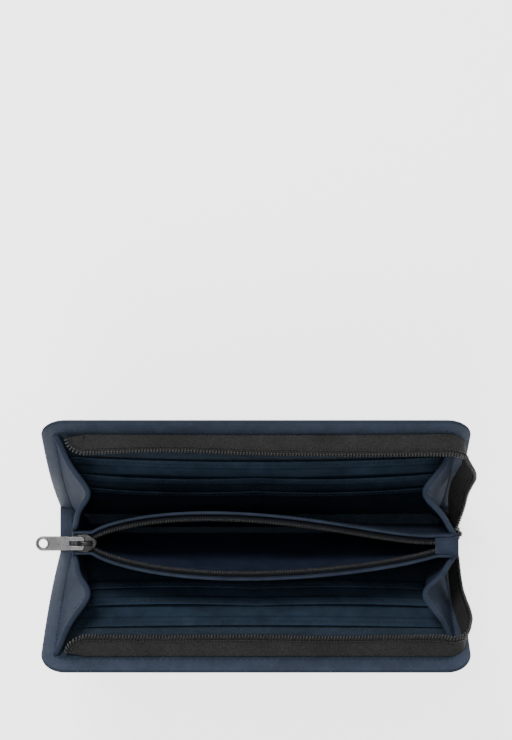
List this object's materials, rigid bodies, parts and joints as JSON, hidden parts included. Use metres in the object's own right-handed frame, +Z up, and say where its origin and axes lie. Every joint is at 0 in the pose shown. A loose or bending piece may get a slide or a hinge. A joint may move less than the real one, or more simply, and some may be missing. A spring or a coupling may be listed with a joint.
{
  "type": "travel passport holder",
  "caption": "Long zip-around leather passport holder standing open in a V, with card slots on both covers and a zipped coin pocket between them.",
  "frame": {"origin": "centre of the spine's underside, on the surface that the holder stands on", "axes": "+X along the spine towards the end where the main zip stops, +Y towards the back cover, +Z up through the open mouth"},
  "size_m": [0.2172, 0.1238, 0.0943],
  "materials": {
    "leather": "fine grain, soft sheen",
    "soft_leather": "fine grain, soft sheen",
    "slot_leather": "smooth, thin",
    "lining": "plain woven",
    "board": "pressed board",
    "tape": "woven zip tape",
    "coil": "nylon coil",
    "metal": "gunmetal plating"
  },
  "bodies": {
    "spine": {"spine_leather": "leather", "spine_board": "board", "spine_lining": "lining", "coin_pocket_base": "lining", "coin_wall_front": "soft_leather", "coin_wall_back": "soft_leather", "coin_tape_front": "tape", "coin_tape_back": "tape", "coin_coil_front": "coil", "coin_coil_back": "coil", "coin_bottom_stop": "metal", "left_end_tab": "soft_leather", "right_end_tab": "soft_leather", "gusset_left_front": "soft_leather", "gusset_left_back": "soft_leather", "gusset_right_front": "soft_leather", "gusset_right_back": "soft_leather", "main_tail_tapes": "tape", "main_tail_coils": "coil", "main_bottom_stop": "metal"},
    "front_cover": {"front_cover_leather": "leather", "front_cover_board": "board", "front_cover_lining": "lining", "front_card_backing": "slot_leather", "front_upper_slot_panel": "slot_leather", "front_upper_slot_seams": "slot_leather", "front_lower_slot_panel": "slot_leather", "front_lower_slot_seams": "slot_leather", "front_zip_tape": "tape", "front_zip_coil": "coil"},
    "back_cover": {"back_cover_leather": "leather", "back_cover_board": "board", "back_cover_lining": "lining", "back_card_backing": "slot_leather", "back_upper_slot_panel": "slot_leather", "back_upper_slot_seams": "slot_leather", "back_lower_slot_panel": "slot_leather", "back_lower_slot_seams": "slot_leather", "back_zip_tape": "tape", "back_zip_coil": "coil"},
    "coin_front_leaf": {"coin_lining_front": "lining"},
    "coin_back_leaf": {"coin_lining_back": "lining"},
    "coin_slider": {"coin_slider": "metal"},
    "coin_puller": {"coin_puller": "metal"},
    "main_slider": {"main_slider": "metal"},
    "main_puller": {"main_puller": "metal"}
  },
  "joints": [
    {"name": "front_fold", "type": "hinge", "parent": "spine", "child": "front_cover", "pos_m": [0, -0.0125, 0.0015], "axis": [-1, 0, 0], "range_deg": [0, 27.5], "deforming": ["gusset_left_front", "gusset_right_front", "coin_wall_front", "coin_tape_front", "coin_coil_front"]},
    {"name": "back_fold", "type": "hinge", "parent": "spine", "child": "back_cover", "pos_m": [0, 0.0125, 0.0015], "axis": [1, 0, 0], "range_deg": [0, 27.5], "deforming": ["gusset_left_back", "gusset_right_back", "coin_wall_back", "coin_tape_back", "coin_coil_back"]},
    {"name": "coin_front_fold", "type": "hinge", "parent": "spine", "child": "coin_front_leaf", "pos_m": [0, -0.0013, 0.0063], "axis": [-1, 0, 0], "range_deg": [0, 4.15]},
    {"name": "coin_back_fold", "type": "hinge", "parent": "spine", "child": "coin_back_leaf", "pos_m": [0, 0.0013, 0.0063], "axis": [1, 0, 0], "range_deg": [0, 4.15]},
    {"name": "coin_zip", "type": "slide", "parent": "spine", "child": "coin_slider", "axis": [1, 0, 0], "range_m": [0, 0.163]},
    {"name": "coin_puller_swing", "type": "hinge", "parent": "coin_slider", "child": "coin_puller", "pos_m": [-0.0865, 0, 0.0792], "axis": [0, 1, 0], "range_deg": [0, 180]},
    {"name": "main_zip", "type": "slide", "parent": "spine", "child": "main_slider", "axis": [0, 0, 1], "range_m": [0, 0.054]},
    {"name": "main_puller_swing", "type": "hinge", "parent": "main_slider", "child": "main_puller", "pos_m": [0.1066, 0, 0.0265], "axis": [0, -1, 0], "range_deg": [0, 180]}
  ],
  "couplings": [
    {"joint": "coin_front_fold", "follows": "front_fold", "ratio": 0.15},
    {"joint": "coin_back_fold", "follows": "back_fold", "ratio": 0.15}
  ]
}
